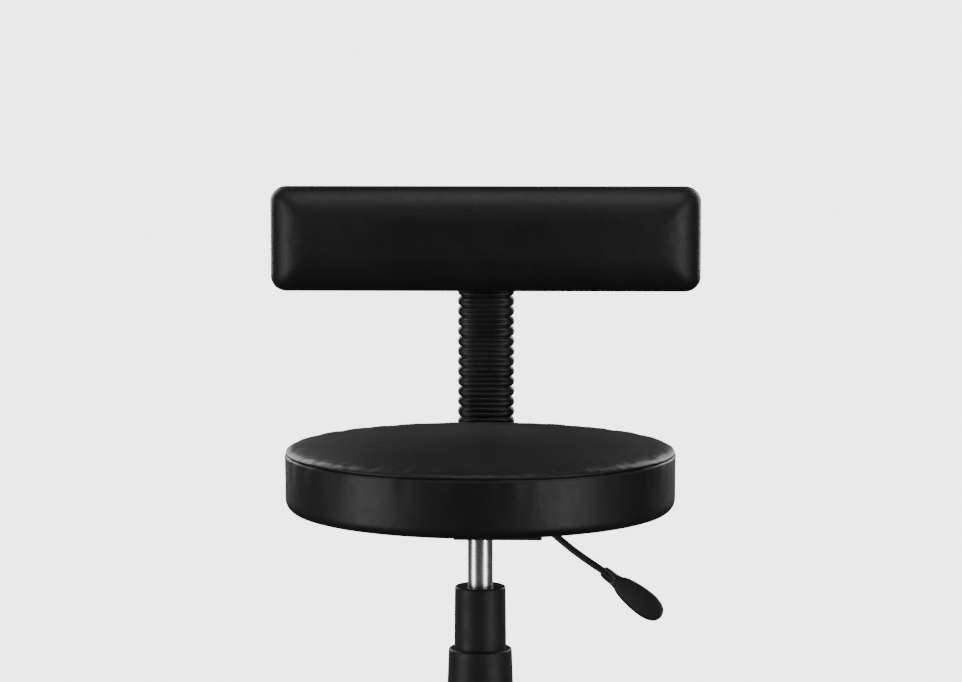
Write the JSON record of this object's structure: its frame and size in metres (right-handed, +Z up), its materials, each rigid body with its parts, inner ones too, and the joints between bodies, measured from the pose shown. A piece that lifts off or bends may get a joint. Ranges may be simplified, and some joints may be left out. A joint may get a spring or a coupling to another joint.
{
  "type": "adjustable swivel stool",
  "caption": "Height-adjustable swivel stool on casters with a round padded seat, a small padded backrest on a bellows-covered bar and a release lever under the seat.",
  "frame": {"origin": "on the floor, under the middle of the outline; the column axis stands 27.1 mm in front of it", "axes": "+Z up, the sitter faces -Y, the backrest is at +Y, the release lever is at +X"},
  "size_m": [0.6068, 0.5563, 0.7327],
  "materials": {
    "black_leather": "soft sheen, fine grain",
    "black_nylon": "moulded, lightly textured",
    "wheel_nylon": "satin",
    "black_plastic": "matte, fine texture",
    "black_steel": "black powder coat",
    "polished_steel": "ground and polished",
    "bellows_rubber": "semi-matte, moulded",
    "plywood": "raw birch plywood"
  },
  "bodies": {
    "base": {"base_star": "black_nylon", "cover_bottom": "black_plastic", "cover_middle": "black_plastic", "cover_top": "black_plastic", "outer_tube": "black_steel", "guide_bush": "black_plastic", "thrust_bearing": "polished_steel"},
    "spindle": {"piston_rod": "polished_steel", "retaining_clip": "polished_steel"},
    "seat": {"inner_tube": "polished_steel", "rod_gland": "black_plastic", "mechanism_housing": "black_steel", "mounting_plate": "black_steel", "lever_pivot_pin": "polished_steel", "bar_bracket": "black_steel", "seat_bolt_1": "black_steel", "seat_bolt_2": "black_steel", "seat_bolt_3": "black_steel", "seat_bolt_4": "black_steel", "seat_board": "plywood", "seat_cushion": "black_leather"},
    "release_button": {"release_button": "black_plastic"},
    "lever": {"lever_rod": "black_steel", "lever_paddle": "black_plastic"},
    "depth_knob": {"depth_knob": "black_plastic"},
    "back_bar": {"back_bar": "black_steel", "bellows": "bellows_rubber"},
    "backrest": {"backrest_bracket": "black_steel", "backrest_screw_left": "black_steel", "backrest_screw_right": "black_steel", "backrest_shell": "black_plastic", "backrest_cushion": "black_leather"},
    "height_knob": {"height_knob": "black_plastic"},
    "caster_1": {"caster_1_stem": "black_steel", "caster_1_hood": "black_nylon"},
    "caster_1_wheels": {"caster_1_axle": "black_steel", "caster_1_wheel_right": "wheel_nylon", "caster_1_wheel_left": "wheel_nylon"},
    "caster_2": {"caster_2_stem": "black_steel", "caster_2_hood": "black_nylon"},
    "caster_2_wheels": {"caster_2_axle": "black_steel", "caster_2_wheel_right": "wheel_nylon", "caster_2_wheel_left": "wheel_nylon"},
    "caster_3": {"caster_3_stem": "black_steel", "caster_3_hood": "black_nylon"},
    "caster_3_wheels": {"caster_3_axle": "black_steel", "caster_3_wheel_right": "wheel_nylon", "caster_3_wheel_left": "wheel_nylon"},
    "caster_4": {"caster_4_stem": "black_steel", "caster_4_hood": "black_nylon"},
    "caster_4_wheels": {"caster_4_axle": "black_steel", "caster_4_wheel_right": "wheel_nylon", "caster_4_wheel_left": "wheel_nylon"},
    "caster_5": {"caster_5_stem": "black_steel", "caster_5_hood": "black_nylon"},
    "caster_5_wheels": {"caster_5_axle": "black_steel", "caster_5_wheel_right": "wheel_nylon", "caster_5_wheel_left": "wheel_nylon"}
  },
  "joints": [
    {"name": "seat_swivel", "type": "hinge", "parent": "base", "child": "spindle", "pos_m": [0, -0.0271, 0.05], "axis": [0, 0, 1], "continuous": true},
    {"name": "seat_height", "type": "slide", "parent": "spindle", "child": "seat", "axis": [0, 0, 1], "range_m": [-0.05, 0.09]},
    {"name": "lever_lift", "type": "hinge", "parent": "seat", "child": "lever", "pos_m": [0.0208, -0.03426, 0.3685], "axis": [-0.3256, -0.9455, 0], "range_deg": [0, 8], "stiffness_Nm_per_rad": 8},
    {"name": "button_travel", "type": "slide", "parent": "seat", "child": "release_button", "axis": [0, 0, 1], "range_m": [-0.003, 0]},
    {"name": "backrest_depth", "type": "slide", "parent": "seat", "child": "back_bar", "axis": [0, 1, 0], "range_m": [0, 0.05]},
    {"name": "depth_knob_turn", "type": "hinge", "parent": "seat", "child": "depth_knob", "pos_m": [0, 0.0979, 0.34], "axis": [0, 0, 1], "range_deg": [0, 360]},
    {"name": "backrest_height", "type": "slide", "parent": "back_bar", "child": "backrest", "axis": [0, 0, 1], "range_m": [-0.015, 0.065], "deforming": ["bellows"]},
    {"name": "height_knob_turn", "type": "hinge", "parent": "backrest", "child": "height_knob", "pos_m": [0, 0.2429, 0.657], "axis": [0, 1, 0], "range_deg": [0, 360]},
    {"name": "caster_1_swivel", "type": "hinge", "parent": "base", "child": "caster_1", "pos_m": [0, 0.2529, 0.075], "axis": [0, 0, 1], "continuous": true},
    {"name": "caster_1_roll", "type": "hinge", "parent": "caster_1", "child": "caster_1_wheels", "pos_m": [-0.01691, 0.24674, 0.025], "axis": [-0.342, 0.9397, 0], "continuous": true},
    {"name": "caster_2_swivel", "type": "hinge", "parent": "base", "child": "caster_2", "pos_m": [-0.2663, 0.05942, 0.075], "axis": [0, 0, 1], "continuous": true},
    {"name": "caster_2_roll", "type": "hinge", "parent": "caster_2", "child": "caster_2_wheels", "pos_m": [-0.27245, 0.04251, 0.025], "axis": [-0.9397, 0.342, 0], "continuous": true},
    {"name": "caster_3_swivel", "type": "hinge", "parent": "base", "child": "caster_3", "pos_m": [-0.16458, -0.25362, 0.075], "axis": [0, 0, 1], "continuous": true},
    {"name": "caster_3_roll", "type": "hinge", "parent": "caster_3", "child": "caster_3_wheels", "pos_m": [-0.18231, -0.2505, 0.025], "axis": [0.1736, 0.9848, 0], "continuous": true},
    {"name": "caster_4_swivel", "type": "hinge", "parent": "base", "child": "caster_4", "pos_m": [0.16458, -0.25362, 0.075], "axis": [0, 0, 1], "continuous": true},
    {"name": "caster_4_roll", "type": "hinge", "parent": "caster_4", "child": "caster_4_wheels", "pos_m": [0.18231, -0.2505, 0.025], "axis": [0.1736, -0.9848, 0], "continuous": true},
    {"name": "caster_5_swivel", "type": "hinge", "parent": "base", "child": "caster_5", "pos_m": [0.2663, 0.05942, 0.075], "axis": [0, 0, 1], "continuous": true},
    {"name": "caster_5_roll", "type": "hinge", "parent": "caster_5", "child": "caster_5_wheels", "pos_m": [0.27245, 0.04251, 0.025], "axis": [-0.9397, -0.342, 0], "continuous": true}
  ],
  "couplings": [
    {"joint": "button_travel", "follows": "lever_lift", "m_per_rad": -0.0214}
  ]
}
